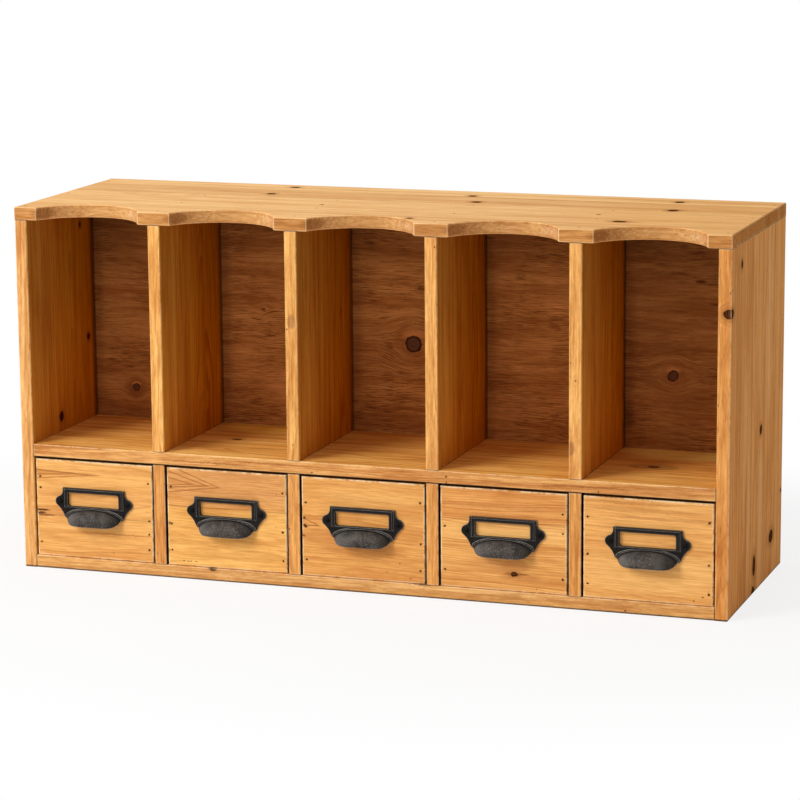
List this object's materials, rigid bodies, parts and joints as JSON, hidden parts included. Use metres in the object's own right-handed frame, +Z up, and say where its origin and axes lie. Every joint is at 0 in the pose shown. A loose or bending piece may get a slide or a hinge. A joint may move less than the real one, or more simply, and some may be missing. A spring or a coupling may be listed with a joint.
{
  "type": "envelope sorter",
  "caption": "Pine desk organizer with upright pigeonholes under a scalloped top and a row of small drawers with cast-iron label pulls.",
  "frame": {"origin": "centre of the underside of the carcass, on the surface it stands on", "axes": "+X to the right facing the drawers, along the longest side; +Y from the front to the back; +Z up"},
  "size_m": [0.68, 0.2318, 0.343],
  "materials": {
    "pine": "oiled honey-coloured pine, satin",
    "plywood": "stained red-brown plywood, matte",
    "cast_iron": "black-brown cast iron, worn on its high spots",
    "black_screw": "blackened steel, semi-matte",
    "nail_steel": "dulled steel",
    "dowel_beech": "plain beech, unfinished"
  },
  "bodies": {
    "carcass": {"top_board": "pine", "left_side": "pine", "right_side": "pine", "bottom_board": "pine", "middle_shelf": "pine", "back_panel": "plywood", "upper_divider_1": "pine", "upper_divider_2": "pine", "upper_divider_3": "pine", "upper_divider_4": "pine", "lower_divider_1": "pine", "lower_divider_2": "pine", "lower_divider_3": "pine", "lower_divider_4": "pine", "top_nails": "nail_steel", "divider_nails": "nail_steel", "side_dowels": "dowel_beech", "back_panel_pins": "nail_steel"},
    "drawer_1": {"drawer_1_front": "pine", "drawer_1_left_side": "pine", "drawer_1_right_side": "pine", "drawer_1_back": "pine", "drawer_1_bottom": "plywood", "drawer_1_pull": "cast_iron", "drawer_1_pull_screws": "black_screw", "drawer_1_brads": "nail_steel"},
    "drawer_2": {"drawer_2_front": "pine", "drawer_2_left_side": "pine", "drawer_2_right_side": "pine", "drawer_2_back": "pine", "drawer_2_bottom": "plywood", "drawer_2_pull": "cast_iron", "drawer_2_pull_screws": "black_screw", "drawer_2_brads": "nail_steel"},
    "drawer_3": {"drawer_3_front": "pine", "drawer_3_left_side": "pine", "drawer_3_right_side": "pine", "drawer_3_back": "pine", "drawer_3_bottom": "plywood", "drawer_3_pull": "cast_iron", "drawer_3_pull_screws": "black_screw", "drawer_3_brads": "nail_steel"},
    "drawer_4": {"drawer_4_front": "pine", "drawer_4_left_side": "pine", "drawer_4_right_side": "pine", "drawer_4_back": "pine", "drawer_4_bottom": "plywood", "drawer_4_pull": "cast_iron", "drawer_4_pull_screws": "black_screw", "drawer_4_brads": "nail_steel"},
    "drawer_5": {"drawer_5_front": "pine", "drawer_5_left_side": "pine", "drawer_5_right_side": "pine", "drawer_5_back": "pine", "drawer_5_bottom": "plywood", "drawer_5_pull": "cast_iron", "drawer_5_pull_screws": "black_screw", "drawer_5_brads": "nail_steel"}
  },
  "joints": [
    {"name": "drawer_1_slide", "type": "slide", "parent": "carcass", "child": "drawer_1", "axis": [0, -1, 0], "range_m": [0, 0.115]},
    {"name": "drawer_2_slide", "type": "slide", "parent": "carcass", "child": "drawer_2", "axis": [0, -1, 0], "range_m": [0, 0.115]},
    {"name": "drawer_3_slide", "type": "slide", "parent": "carcass", "child": "drawer_3", "axis": [0, -1, 0], "range_m": [0, 0.115]},
    {"name": "drawer_4_slide", "type": "slide", "parent": "carcass", "child": "drawer_4", "axis": [0, -1, 0], "range_m": [0, 0.115]},
    {"name": "drawer_5_slide", "type": "slide", "parent": "carcass", "child": "drawer_5", "axis": [0, -1, 0], "range_m": [0, 0.115]}
  ]
}
